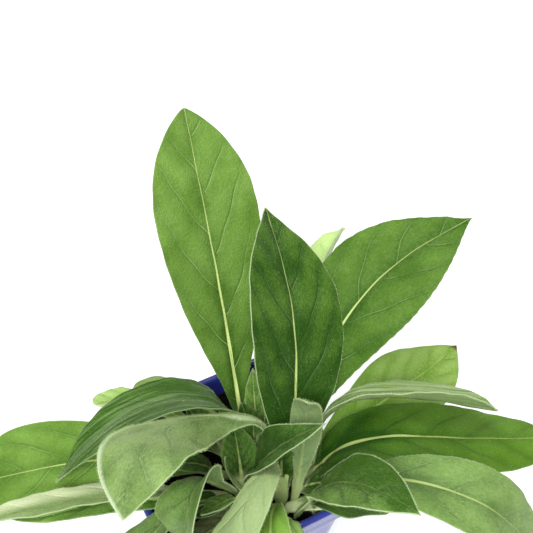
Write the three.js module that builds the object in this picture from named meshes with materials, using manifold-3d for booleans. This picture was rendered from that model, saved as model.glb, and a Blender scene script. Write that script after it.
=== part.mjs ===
// Potted cornflower: a young leafy clump in a square plastic nursery pot.
// Millimetres, +Z up, origin at the middle of the flat underside of the pot, walls along X and Y.
import * as THREE from "three";
import { mergeVertices } from "three/addons/utils/BufferGeometryUtils.js";
import Module from "manifold-3d";

const wasm = await Module();
wasm.setup();

// Pot: half widths are measured from the middle to a flat wall.
const POT_HEIGHT = 87;
const RIM_HALF = 45;
const BASE_HALF = 31;
const WALL = 1.6;
const FLOOR = 2;
const COLLAR_HEIGHT = 11;
const COLLAR_STEP = 2.2;
const RIM_LEDGE = 1.3;
const CORNER_AT_RIM = 10;
const CORNER_AT_BASE = 7;
const DRAIN_RADIUS = 3.5;
const DRAIN_OFFSET = 19;

// Potting mix fills the pot to this height, and stays this far from what it touches.
const MIX_TOP = 76;
const GAP = 0.3;
const MIX_ROUGHNESS = 0.8;

// Petioles stand upright in the mix, and start to lean just above it.
const STUB_BOTTOM = 69;
const STUB_TOP = 78;

// Blades: thickness at the margin and along the midrib, and the petiole's at the root.
const MARGIN_THICKNESS = 0.7;
const MIDRIB_THICKNESS = 1.1;
const PETIOLE_THICKNESS = 2.6;

// Every leaf is described by its midrib and its outline, in millimetres and degrees:
// root is where it leaves the mix, heading its compass direction (0 is +X, 90 is +Y), and turn
// how far it swings from that; rise and droop are its slopes at the root and at the tip; bendAt
// and bendOver say where it bends, as shares of its length; inward and outward shape its taper
// towards the root and the tip; roll and twist turn the blade about the midrib; fold lifts the
// two halves (or lowers them, below 0), and changes to foldTip towards the tip, or around foldAt.
// nod and nodAt, where a leaf has them, bend it a second time, to that slope. A petiole is
// petiole wide at the mix, each side of its middle, and wing wide above it.
const USUAL = { petiole: 1.7, wing: 2.4, wave: 0.6, waves: 5 };

const LEAVES = [
  {
    name: "tall_back_leaf", look: "leaf",
    root: [10, 5], heading: 78, turn: 1, rise: 62, droop: 46,
    bendAt: 0.5, bendOver: 0.8, length: 161, width: 50,
    inward: 1.8, outward: 0.8, roll: -19, twist: 0, fold: 6,
  },
  {
    name: "upright_centre_leaf", look: "deep",
    root: [15, -24], heading: 47, turn: 35, rise: 68, droop: 25,
    bendAt: 0.5, bendOver: 0.8, length: 137, width: 50,
    inward: 1.9, outward: 1.1, roll: -32, twist: 0, fold: 8,
  },
  {
    name: "back_right_leaf", look: "deep",
    root: [23, -14], heading: 39, turn: -35, rise: 60, droop: 4,
    bendAt: 0.5, bendOver: 0.8, length: 157, width: 48,
    inward: 2.2, outward: 1.3, roll: -4, twist: 0, fold: 6,
  },
  {
    name: "narrow_back_leaf", look: "pale",
    root: [23, -8], heading: 57, turn: -20, rise: 41, droop: 3,
    bendAt: 0.53, bendOver: 0.8, length: 124, width: 22,
    inward: 1.7, outward: 0.7, roll: 50, twist: -7, fold: 33,
  },
  {
    name: "yellowing_right_leaf", look: "pale",
    root: [28, -14], heading: -3, turn: 22, rise: 46, droop: -8,
    bendAt: 0.33, bendOver: 0.9, length: 104, width: 37,
    inward: 1.8, outward: 1.1, roll: -11, twist: 10, fold: 2,
  },
  {
    name: "edge_on_right_leaf", look: "hairy",
    root: [31, -19], heading: 7, turn: -40, rise: 85, droop: -12,
    bendAt: 0.39, bendOver: 0.3, length: 124, width: 27,
    inward: 2.2, outward: 0.7, roll: 48, twist: -4, fold: 6, foldTip: 24,
  },
  {
    name: "broad_right_leaf", look: "deep",
    root: [33, -24], heading: -28, turn: 10, rise: 95, droop: -13,
    bendAt: 0.24, bendOver: 0.6, length: 131, width: 38,
    inward: 0.8, outward: 0.6, roll: 14, twist: -10, fold: 17, foldTip: -12,
  },
  {
    name: "front_right_leaf", look: "leaf",
    root: [17, -34], heading: -67, turn: -10, rise: 73, droop: 10,
    bendAt: 0.71, bendOver: 1.1, length: 103, width: 25,
    inward: 2.3, outward: 1.3, roll: -7, twist: -1, fold: 33, foldTip: -4,
    petiole: 3.2, wing: 4.2,
  },
  {
    name: "low_right_leaf", look: "leaf",
    root: [24, -31], heading: -61, turn: 28, rise: 61, droop: -62,
    bendAt: 0.53, bendOver: 0.7, length: 155, width: 29,
    inward: 1.8, outward: 0.8, roll: 2, twist: -20, fold: 8,
  },
  {
    name: "under_right_leaf", look: "deep",
    root: [24, -36], heading: -54, turn: 15, rise: 73, droop: 8,
    bendAt: 0.33, bendOver: 0.6, length: 42, width: 31,
    inward: 1.7, outward: 1.1, roll: 25, twist: 1, fold: 18,
  },
  {
    name: "bent_young_leaf", look: "hairy",
    root: [18, -28], heading: -146, turn: 27, rise: 105, droop: 34,
    bendAt: 0.88, bendOver: 0.4, length: 71, width: 14,
    inward: 1.5, outward: 0.7, roll: 3, twist: 13, fold: -2,
  },
  {
    name: "dark_centre_leaf", look: "deep",
    root: [4, -12], heading: -64, turn: 30, rise: 77, droop: 32,
    bendAt: 0.75, bendOver: 1.4, length: 76, width: 19,
    inward: 0.9, outward: 1.2, roll: -9, twist: -14, fold: 28, foldTip: 26,
  },
  {
    name: "arching_left_leaf", look: "hairy",
    root: [9, -4], heading: 156, turn: 79, rise: 104, droop: 40,
    bendAt: 0.23, bendOver: 0.2, length: 148, width: 35,
    inward: 3.2, outward: 1, roll: 5, twist: -20, fold: -40, foldTip: -3,
    foldAt: 0.59, nod: -42, nodAt: 0.9,
  },
  {
    name: "arching_back_left_leaf", look: "leaf",
    root: [6, 8], heading: 166, turn: 20, rise: 107, droop: -44,
    bendAt: 0.44, bendOver: 1.2, length: 126, width: 29,
    inward: 1.6, outward: 1.3, roll: -29, twist: 10, fold: 22, foldTip: 7,
  },
  {
    name: "far_left_leaf", look: "leaf",
    root: [-3, -3], heading: 166, turn: -7, rise: 42, droop: -13,
    bendAt: 0.49, bendOver: 0.8, length: 115, width: 39,
    inward: 1.7, outward: 0.5, roll: 35, twist: 4, fold: 8,
  },
  {
    name: "low_left_leaf", look: "hairy",
    root: [-8, -12], heading: 176, turn: 0, rise: 42, droop: 18,
    bendAt: 0.42, bendOver: 0.7, length: 123, width: 23,
    inward: 1.5, outward: 1.2, roll: -37, twist: 2, fold: 10,
  },
  {
    name: "thin_left_leaf", look: "leaf",
    root: [-12, -15], heading: 168, turn: -12, rise: 35, droop: -17,
    bendAt: 0.5, bendOver: 0.8, length: 97, width: 13,
    inward: 1.6, outward: 0.9, roll: -1, twist: 0, fold: 8,
  },
  {
    name: "small_back_left_leaf", look: "pale",
    root: [0, 9], heading: 128, turn: 29, rise: 43, droop: 9,
    bendAt: 0.49, bendOver: 0.8, length: 68, width: 16,
    inward: 1.9, outward: 0.5, roll: -19, twist: -1, fold: 8,
  },
  {
    name: "rolled_back_left_leaf", look: "hairy",
    root: [7, 13], heading: 127, turn: 30, rise: 66, droop: -6,
    bendAt: 0.5, bendOver: 1, length: 60, width: 15,
    inward: 2, outward: 0.4, roll: -27, twist: 0, fold: 27, foldTip: 28,
  },
  {
    name: "hairy_front_leaf", look: "hairy",
    root: [12, -16], heading: -122, turn: -33, rise: 105, droop: -43,
    bendAt: 0.41, bendOver: 1.2, length: 103, width: 25,
    inward: 1.5, outward: 0.4, roll: -29, twist: -7, fold: -12, foldTip: -9,
  },
  {
    name: "folded_front_left_leaf", look: "leaf",
    root: [-3, -13], heading: -155, turn: 21, rise: 65, droop: -85,
    bendAt: 0.68, bendOver: 0.4, length: 90, width: 27,
    inward: 2.6, outward: 0.5, roll: -42, twist: 4, fold: 23,
  },
  {
    name: "green_front_leaf", look: "leaf",
    root: [11, -28], heading: -135, turn: 29, rise: 64, droop: -73,
    bendAt: 0.58, bendOver: 0.9, length: 77, width: 24,
    inward: 2.2, outward: 0.7, roll: -33, twist: 22, fold: 11,
  },
  {
    name: "front_corner_leaf", look: "pale",
    root: [11, -36], heading: -134, turn: 36, rise: 70, droop: -53,
    bendAt: 0.44, bendOver: 0.7, length: 56, width: 24,
    inward: 1.6, outward: 0.9, roll: 20, twist: 10, fold: 11,
  },
  {
    name: "left_corner_leaf", look: "leaf",
    root: [-8, -21], heading: 169, turn: 50, rise: 66, droop: -48,
    bendAt: 0.38, bendOver: 0.8, length: 85, width: 36,
    inward: 2.5, outward: 0.5, roll: -34, twist: -4, fold: 9,
  },
  {
    name: "small_grey_leaf", look: "hairy",
    root: [1, -18], heading: 133, turn: -30, rise: 46, droop: 77,
    bendAt: 0.46, bendOver: 0.7, length: 29, width: 6,
    inward: 1.6, outward: 0.9, roll: -46, twist: 6, fold: 13,
  },
  {
    name: "dark_inner_leaf", look: "leaf",
    root: [-3, -20], heading: -156, turn: -9, rise: 76, droop: 22,
    bendAt: 0.45, bendOver: 0.9, length: 38, width: 10,
    inward: 1.6, outward: 0.9, roll: -17, twist: -10, fold: 19,
  },
  {
    name: "old_brown_leaf", look: "old",
    root: [0, -24], heading: -163, turn: -6, rise: 38, droop: 12,
    bendAt: 0.43, bendOver: 0.7, length: 43, width: 14,
    inward: 1.6, outward: 0.9, roll: 0, twist: 1, fold: 2,
  },
  {
    name: "small_front_leaf", look: "hairy",
    root: [3, -30], heading: 80, turn: -6, rise: 79, droop: 57,
    bendAt: 0.57, bendOver: 1.1, length: 18, width: 7,
    inward: 1.6, outward: 0.9, roll: -10, twist: -14, fold: 20,
  },
  {
    name: "shaded_left_leaf", look: "deep",
    root: [3, 2], heading: 145, turn: 37, rise: 46, droop: -24,
    bendAt: 0.48, bendOver: 1, length: 76, width: 22,
    inward: 1.6, outward: 1, roll: -33, twist: 20, fold: -5,
  },
];

const SHOOT_LEAVES = [
  {
    root: [15, 1], heading: 82, turn: -16, rise: 84, droop: 49,
    bendAt: 0.5, bendOver: 0.8, length: 47, width: 9,
    inward: 1.6, outward: 1, roll: 8, twist: 0, fold: 10,
  },
  {
    root: [18, 4], heading: 65, turn: 0, rise: 68, droop: 84,
    bendAt: 0.5, bendOver: 0.8, length: 55, width: 5,
    inward: 1, outward: 0.8, roll: 0, twist: 0, fold: 20,
  },
  {
    root: [21, 2], heading: 77, turn: -6, rise: 70, droop: 84,
    bendAt: 0.5, bendOver: 0.8, length: 47, width: 5,
    inward: 1, outward: 0.8, roll: 0, twist: 0, fold: 20,
  },
  {
    root: [22, -2], heading: 76, turn: -6, rise: 89, droop: 85,
    bendAt: 0.5, bendOver: 0.8, length: 46, width: 10,
    inward: 1.6, outward: 0.9, roll: 0, twist: 0, fold: 15,
  },
];

// The short crown that the young back shoot's leaves grow from.
const CROWN = { x: 19, y: 1, radius: 5, top: 80 };

const radians = THREE.MathUtils.degToRad;

function smoothstep(x) {
  const t = THREE.MathUtils.clamp(x, 0, 1);
  return t * t * (3 - 2 * t);
}

// A closed mesh from rings of points: quads between the rings, and a fan at each end.
function loft(rings, tip = middle(rings[rings.length - 1])) {
  const positions = rings.flat().flatMap((p) => [p.x, p.y, p.z]);
  const around = rings[0].length;
  const index = [];
  for (let i = 0; i < rings.length - 1; i += 1) {
    for (let j = 0; j < around; j += 1) {
      const a = i * around + j;
      const b = i * around + ((j + 1) % around);
      index.push(a, b, b + around, a, b + around, a + around);
    }
  }
  const last = (rings.length - 1) * around;
  const first = middle(rings[0]);
  positions.push(first.x, first.y, first.z, tip.x, tip.y, tip.z);
  const firstAt = rings.length * around;
  for (let j = 0; j < around; j += 1) {
    const next = (j + 1) % around;
    index.push(firstAt, next, j);
    index.push(firstAt + 1, last + j, last + next);
  }
  const geometry = new THREE.BufferGeometry();
  geometry.setAttribute("position", new THREE.Float32BufferAttribute(positions, 3));
  geometry.setIndex(index);
  return geometry;
}

function middle(points) {
  const sum = new THREE.Vector3();
  points.forEach((p) => sum.add(p));
  return sum.divideScalar(points.length);
}

function toSolid(geometry) {
  const bare = geometry.clone();
  bare.deleteAttribute("normal");
  bare.deleteAttribute("uv");
  const merged = mergeVertices(bare, 1e-4);
  return new wasm.Manifold(
    new wasm.Mesh({
      numProp: 3,
      vertProperties: new Float32Array(merged.attributes.position.array),
      triVerts: new Uint32Array(merged.index.array),
    }),
  );
}

function toGeometry(solid) {
  const mesh = solid.getMesh();
  const geometry = new THREE.BufferGeometry();
  geometry.setAttribute("position", new THREE.BufferAttribute(new Float32Array(mesh.vertProperties), 3));
  geometry.setIndex(new THREE.BufferAttribute(new Uint32Array(mesh.triVerts), 1));
  return geometry;
}

// One level ring of the square pot, with rounded corners, going anticlockwise seen from above.
function squareRing(half, corner, z, perCorner = 4) {
  const ring = [];
  const centre = half - corner;
  for (let quarter = 0; quarter < 4; quarter += 1) {
    const sx = quarter === 0 || quarter === 3 ? 1 : -1;
    const sy = quarter < 2 ? 1 : -1;
    for (let step = 0; step <= perCorner; step += 1) {
      const angle = radians(quarter * 90 + (90 * step) / perCorner);
      const x = sx * centre + corner * Math.cos(angle);
      const y = sy * centre + corner * Math.sin(angle);
      ring.push(new THREE.Vector3(x, y, z));
    }
  }
  return ring;
}

// Half width and corner radius of the outer wall at a height, below the collar.
function wallAt(z) {
  const share = z / POT_HEIGHT;
  return {
    half: BASE_HALF + (RIM_HALF - COLLAR_STEP - BASE_HALF) * share,
    corner: CORNER_AT_BASE + (CORNER_AT_RIM - CORNER_AT_BASE) * share,
  };
}

function makePot() {
  const collarFoot = POT_HEIGHT - COLLAR_HEIGHT;
  const below = wallAt(collarFoot);
  const top = wallAt(POT_HEIGHT);
  const outer = [
    squareRing(BASE_HALF - 1.5, CORNER_AT_BASE - 1.5, 0),
    squareRing(BASE_HALF, CORNER_AT_BASE, 1.5),
    squareRing(below.half, below.corner, collarFoot),
    squareRing(RIM_HALF - 0.8, CORNER_AT_RIM - 0.3, collarFoot + 0.8),
    squareRing(RIM_HALF, CORNER_AT_RIM, POT_HEIGHT - 1),
    squareRing(RIM_HALF - 0.8, CORNER_AT_RIM - 0.8, POT_HEIGHT),
  ];
  const ledge = POT_HEIGHT - RIM_LEDGE;
  const floor = wallAt(FLOOR);
  const inner = [
    squareRing(top.half - 0.1, top.corner - 0.8, POT_HEIGHT),
    squareRing(top.half - 0.6, top.corner - 1, ledge),
    squareRing(top.half - WALL, top.corner - WALL, ledge - 0.4),
    squareRing(floor.half - WALL, floor.corner - WALL, FLOOR),
  ];
  let solid = toSolid(loft([...outer, ...inner]));
  for (const [x, y] of drainPlaces()) {
    const drill = new THREE.CylinderGeometry(DRAIN_RADIUS, DRAIN_RADIUS, 3 * FLOOR, 16);
    drill.rotateX(Math.PI / 2);
    drill.translate(x, y, FLOOR);
    solid = solid.subtract(toSolid(drill));
  }
  return toGeometry(solid);
}

function drainPlaces() {
  const d = DRAIN_OFFSET;
  return [
    [d, d],
    [-d, d],
    [-d, -d],
    [d, -d],
    [d + 2, 0],
    [0, d + 2],
    [-d - 2, 0],
    [0, -d - 2],
  ];
}

// Low lumps on the top of the mix, from a few crossed waves.
function mixBump(x, y) {
  const coarse = Math.sin(0.31 * x + 1.3) * Math.cos(0.27 * y - 0.6);
  const fine = Math.sin(0.83 * x - 0.71 * y) * 0.6;
  return MIX_ROUGHNESS * 0.6 * (coarse + fine);
}

function makePottingMix(holes) {
  const floor = wallAt(FLOOR + GAP);
  const inset = WALL + GAP;
  const rings = [squareRing(floor.half - inset, floor.corner - inset, FLOOR + GAP)];
  const edge = wallAt(MIX_TOP);
  const steps = 7;
  for (let i = 0; i < steps; i += 1) {
    const size = 1 - i / steps;
    const half = (edge.half - inset) * size;
    const ring = squareRing(half, (edge.corner - inset) * size, MIX_TOP);
    ring.forEach((p) => {
      p.z += i === 0 ? 0 : mixBump(p.x, p.y);
    });
    rings.push(ring);
  }
  let solid = toSolid(loft(rings));
  for (const hole of holes) {
    const bore = new THREE.CylinderGeometry(hole.radius, hole.radius, 2 * (MIX_TOP - STUB_BOTTOM + GAP), 10);
    bore.rotateX(Math.PI / 2);
    bore.translate(hole.x, hole.y, MIX_TOP);
    solid = solid.subtract(toSolid(bore));
  }
  return toGeometry(solid);
}

// The midrib's path, as points with the blade's sideways and upward directions, from root to tip.
function spineOf(leaf, stations) {
  const path = [];
  const at = new THREE.Vector3(leaf.root[0], leaf.root[1], STUB_TOP);
  const fine = 6;
  const step = leaf.length / (stations * fine);
  for (let i = 0; i <= stations * fine; i += 1) {
    const s = i / (stations * fine);
    if (i > 0) {
      at.addScaledVector(directionAt(leaf, s - 0.5 / (stations * fine)), step);
    }
    if (i % fine === 0) {
      path.push({ s, point: at.clone(), ...frameAt(leaf, s) });
    }
  }
  return path;
}

function directionAt(leaf, s) {
  const share = smoothstep((s - leaf.bendAt + leaf.bendOver / 2) / leaf.bendOver);
  const nodShare = leaf.nod === undefined ? 0 : smoothstep((s - leaf.nodAt + 0.2) / 0.4);
  const slope = radians(leaf.rise + (leaf.droop - leaf.rise) * share + (leaf.nod - leaf.droop || 0) * nodShare);
  const heading = radians(leaf.heading + leaf.turn * smoothstep(s));
  return new THREE.Vector3(
    Math.cos(slope) * Math.cos(heading),
    Math.cos(slope) * Math.sin(heading),
    Math.sin(slope),
  );
}

function frameAt(leaf, s) {
  const heading = radians(leaf.heading + leaf.turn * smoothstep(s));
  const along = directionAt(leaf, s);
  const level = new THREE.Vector3(Math.sin(heading), -Math.cos(heading), 0);
  const face = new THREE.Vector3().crossVectors(level, along);
  const roll = radians(leaf.roll * smoothstep(s / 0.25) + leaf.twist * s);
  const side = level.clone().multiplyScalar(Math.cos(roll)).addScaledVector(face, Math.sin(roll));
  const up = face.multiplyScalar(Math.cos(roll)).addScaledVector(level, -Math.sin(roll));
  return { side, up };
}

// Half width of the blade, which is widest at inward / (inward + outward) of the length.
function halfWidthAt(leaf, s) {
  const widest = leaf.inward / (leaf.inward + leaf.outward);
  const rising = (s / widest) ** leaf.inward;
  const falling = ((1 - s) / (1 - widest)) ** leaf.outward;
  const blade = (leaf.width / 2) * rising * falling;
  const petiole = leaf.petiole + (leaf.wing - leaf.petiole) * smoothstep(s / 0.15);
  return Math.max(blade, petiole * Math.min(1, (1 - s) / 0.2));
}

// Places across the blade, from the left margin to the right one.
const ACROSS = [-1, -0.5, 0, 0.5, 1];

// One ring round the blade: its upper face from left to right, then its lower face back again.
function bladeRing(leaf, s, point, side, up) {
  const half = halfWidthAt(leaf, s);
  const bladeShare = THREE.MathUtils.clamp((half - leaf.petiole) / 4, 0, 1);
  const foldShare = leaf.foldAt === undefined ? s : smoothstep((s - leaf.foldAt + 0.25) / 0.5);
  const fold = radians(leaf.fold + ((leaf.foldTip ?? leaf.fold) - leaf.fold) * foldShare);
  const rise = Math.tan(fold) * bladeShare;
  const slack = 1 / Math.cos(fold * bladeShare);
  const rib = PETIOLE_THICKNESS + (MIDRIB_THICKNESS - PETIOLE_THICKNESS) * smoothstep(s / 0.45);
  const upper = [];
  const lower = [];
  for (const u of ACROSS) {
    const ribShare = (1 - Math.abs(u)) ** (0.4 + 1.6 * bladeShare);
    const thickness = (MARGIN_THICKNESS + (rib - MARGIN_THICKNESS) * ribShare) * slack;
    const above = thickness / 2 + (0.35 - thickness / 2) * bladeShare;
    const wave = leaf.wave * u * u * Math.sin(leaf.waves * Math.PI * s + 1.7 * u) * bladeShare;
    const centre = point
      .clone()
      .addScaledVector(side, half * u)
      .addScaledVector(up, half * rise * Math.abs(u) + wave);
    upper.push(centre.clone().addScaledVector(up, above));
    lower.unshift(centre.clone().addScaledVector(up, above - thickness));
  }
  return [...upper, ...lower];
}

function makeLeaf(leaf) {
  const heading = radians(leaf.heading);
  const side = new THREE.Vector3(Math.sin(heading), -Math.cos(heading), 0);
  const back = new THREE.Vector3(-Math.cos(heading), -Math.sin(heading), 0);
  const rings = [STUB_BOTTOM, STUB_TOP - 1.5].map((z) =>
    bladeRing(leaf, 0, new THREE.Vector3(leaf.root[0], leaf.root[1], z), side, back),
  );
  const stations = leaf.length > 100 ? 14 : 10;
  const path = spineOf(leaf, stations);
  const tip = path[path.length - 1].point;
  for (const place of path.slice(0, -1)) {
    rings.push(bladeRing(leaf, place.s, place.point, place.side, place.up));
  }
  const near = path[path.length - 2];
  const shoulder = near.point.clone().lerp(tip, 0.75);
  const last = path[path.length - 1];
  rings.push(bladeRing(leaf, 1 - 0.25 / stations, shoulder, last.side, last.up));
  return loft(rings, tip);
}

function leafHole(leaf) {
  const radius = (Math.hypot(leaf.petiole, 0.35) + GAP) / Math.cos(Math.PI / 10) + 0.1;
  return { x: leaf.root[0], y: leaf.root[1], radius };
}

// The young shoot's leaves join on a short crown that stands in the mix.
function makeShoot(leaves, crown) {
  const stem = new THREE.CylinderGeometry(crown.radius, crown.radius, crown.top - STUB_BOTTOM, 12);
  stem.rotateX(Math.PI / 2);
  stem.translate(crown.x, crown.y, (crown.top + STUB_BOTTOM) / 2);
  let solid = toSolid(stem);
  for (const leaf of leaves) {
    solid = solid.add(toSolid(makeLeaf(leaf)));
  }
  return toGeometry(solid);
}

const LOOKS = {
  pot: { color: 0x1d2596, roughness: 0.35 },
  mix: { color: 0x2a211b, roughness: 1 },
  leaf: { color: 0x4f8438, roughness: 0.6 },
  deep: { color: 0x3c6d2c, roughness: 0.55 },
  hairy: { color: 0x86a878, roughness: 0.8 },
  pale: { color: 0x8fb35a, roughness: 0.6 },
  old: { color: 0x6f7440, roughness: 0.75 },
};

const part = new THREE.Group();

function addMesh(name, geometry, look) {
  geometry.computeVertexNormals();
  const material = new THREE.MeshStandardMaterial({ ...look, metalness: 0 });
  const mesh = new THREE.Mesh(geometry, material);
  mesh.name = name;
  part.add(mesh);
}

const leaves = LEAVES.map((leaf) => ({ ...USUAL, ...leaf }));
const shootLeaves = SHOOT_LEAVES.map((leaf) => ({ ...USUAL, petiole: 1.2, wing: 1.2, wave: 0, ...leaf }));
const holes = leaves.map(leafHole);
holes.push({ x: CROWN.x, y: CROWN.y, radius: CROWN.radius + 4 * GAP });

addMesh("pot", makePot(), LOOKS.pot);
addMesh("potting_mix", makePottingMix(holes), LOOKS.mix);
for (const leaf of leaves) {
  addMesh(leaf.name, makeLeaf(leaf), LOOKS[leaf.look]);
}
addMesh("young_back_shoot", makeShoot(shootLeaves, CROWN), LOOKS.leaf);

export default part;
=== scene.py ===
import math
from types import SimpleNamespace

import bpy
import numpy as np
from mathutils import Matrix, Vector


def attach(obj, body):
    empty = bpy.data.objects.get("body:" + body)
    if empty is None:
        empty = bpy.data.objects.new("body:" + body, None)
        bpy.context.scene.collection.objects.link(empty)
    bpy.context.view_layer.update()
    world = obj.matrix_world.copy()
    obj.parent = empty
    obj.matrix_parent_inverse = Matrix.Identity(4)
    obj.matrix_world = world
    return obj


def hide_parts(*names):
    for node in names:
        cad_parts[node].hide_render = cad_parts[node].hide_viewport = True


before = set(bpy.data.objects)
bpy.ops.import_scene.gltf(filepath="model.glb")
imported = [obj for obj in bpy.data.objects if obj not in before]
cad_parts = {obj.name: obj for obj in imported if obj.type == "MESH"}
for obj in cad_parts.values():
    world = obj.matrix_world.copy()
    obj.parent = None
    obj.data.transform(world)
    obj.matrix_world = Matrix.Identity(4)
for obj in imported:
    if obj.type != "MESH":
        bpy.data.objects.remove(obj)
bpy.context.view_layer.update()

# Lengths are in millimetres until a mesh is made, and angles in degrees.
MM = 0.001

# The camera looks down at a place to the right of the pot and behind it.
CAMERA_AZIMUTH = -27.3
CAMERA_ELEVATION = 48.0
CAMERA_DISTANCE = 482 * MM
CAMERA_TARGET = Vector((68, 96, 87)) * MM
CAMERA_LENS = 60
CAMERA_SENSOR = 36

# Petioles stand in the mix from STUB_BOTTOM and start to lean at STUB_TOP.
STUB_BOTTOM = 74.0
STUB_TOP = 78.0
MARGIN_THICKNESS = 0.45
MIDRIB_THICKNESS = 1.1
PETIOLE_THICKNESS = 2.6

# A leaf heads away from its root, with turn added along its length. Its slope goes from rise to
# droop round bendAt, within bendOver, and to nod round nodAt, all shares of its length. The blade
# widens with the power inward, narrows with the power outward, leans sideways by roll and twist, and
# folds up by fold, which becomes foldTip at the tip or round foldAt. petiole and wing are half the
# petiole's width at its ends, and wave and waves the height and number of the margin's waves.
# The green lies at tone between the two of the leaf's look, and contrast changes it in patches. lean
# paints shade on one side of the blade, and the crown's painted shade darkens it from the root out, with
# a little painted light towards the tip. down is how many hairs there are, haze and grey how white the
# blade is, cream how pale its root, and stem its petiole. margin, vein and rib are how clear those lines
# are. teeth notch the margin, yellow adds specks, brown a dead tip, and streak dark and light strokes.
# ridge is pale fuzz along the midrib, partly a painted sheen, which drift takes over to the margin.
# This is what a leaf has where its row doesn't say otherwise.
USUAL = dict(
    look="leaf", turn=0, bendAt=0.5, bendOver=0.8, inward=1.6, outward=0.9, roll=0, twist=0,
    petiole=1.7, wing=2.4, wave=0.6, waves=5,
    tone=0.5, margin=0.5, vein=0.2, rib=0.5, haze=0.3, contrast=1, lean=0, deepen=0.2, cream=0,
    ridge=0, drift=0, grey=0, stem=1, teeth=0, yellow=0, brown=0, streak=0,
)

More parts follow.
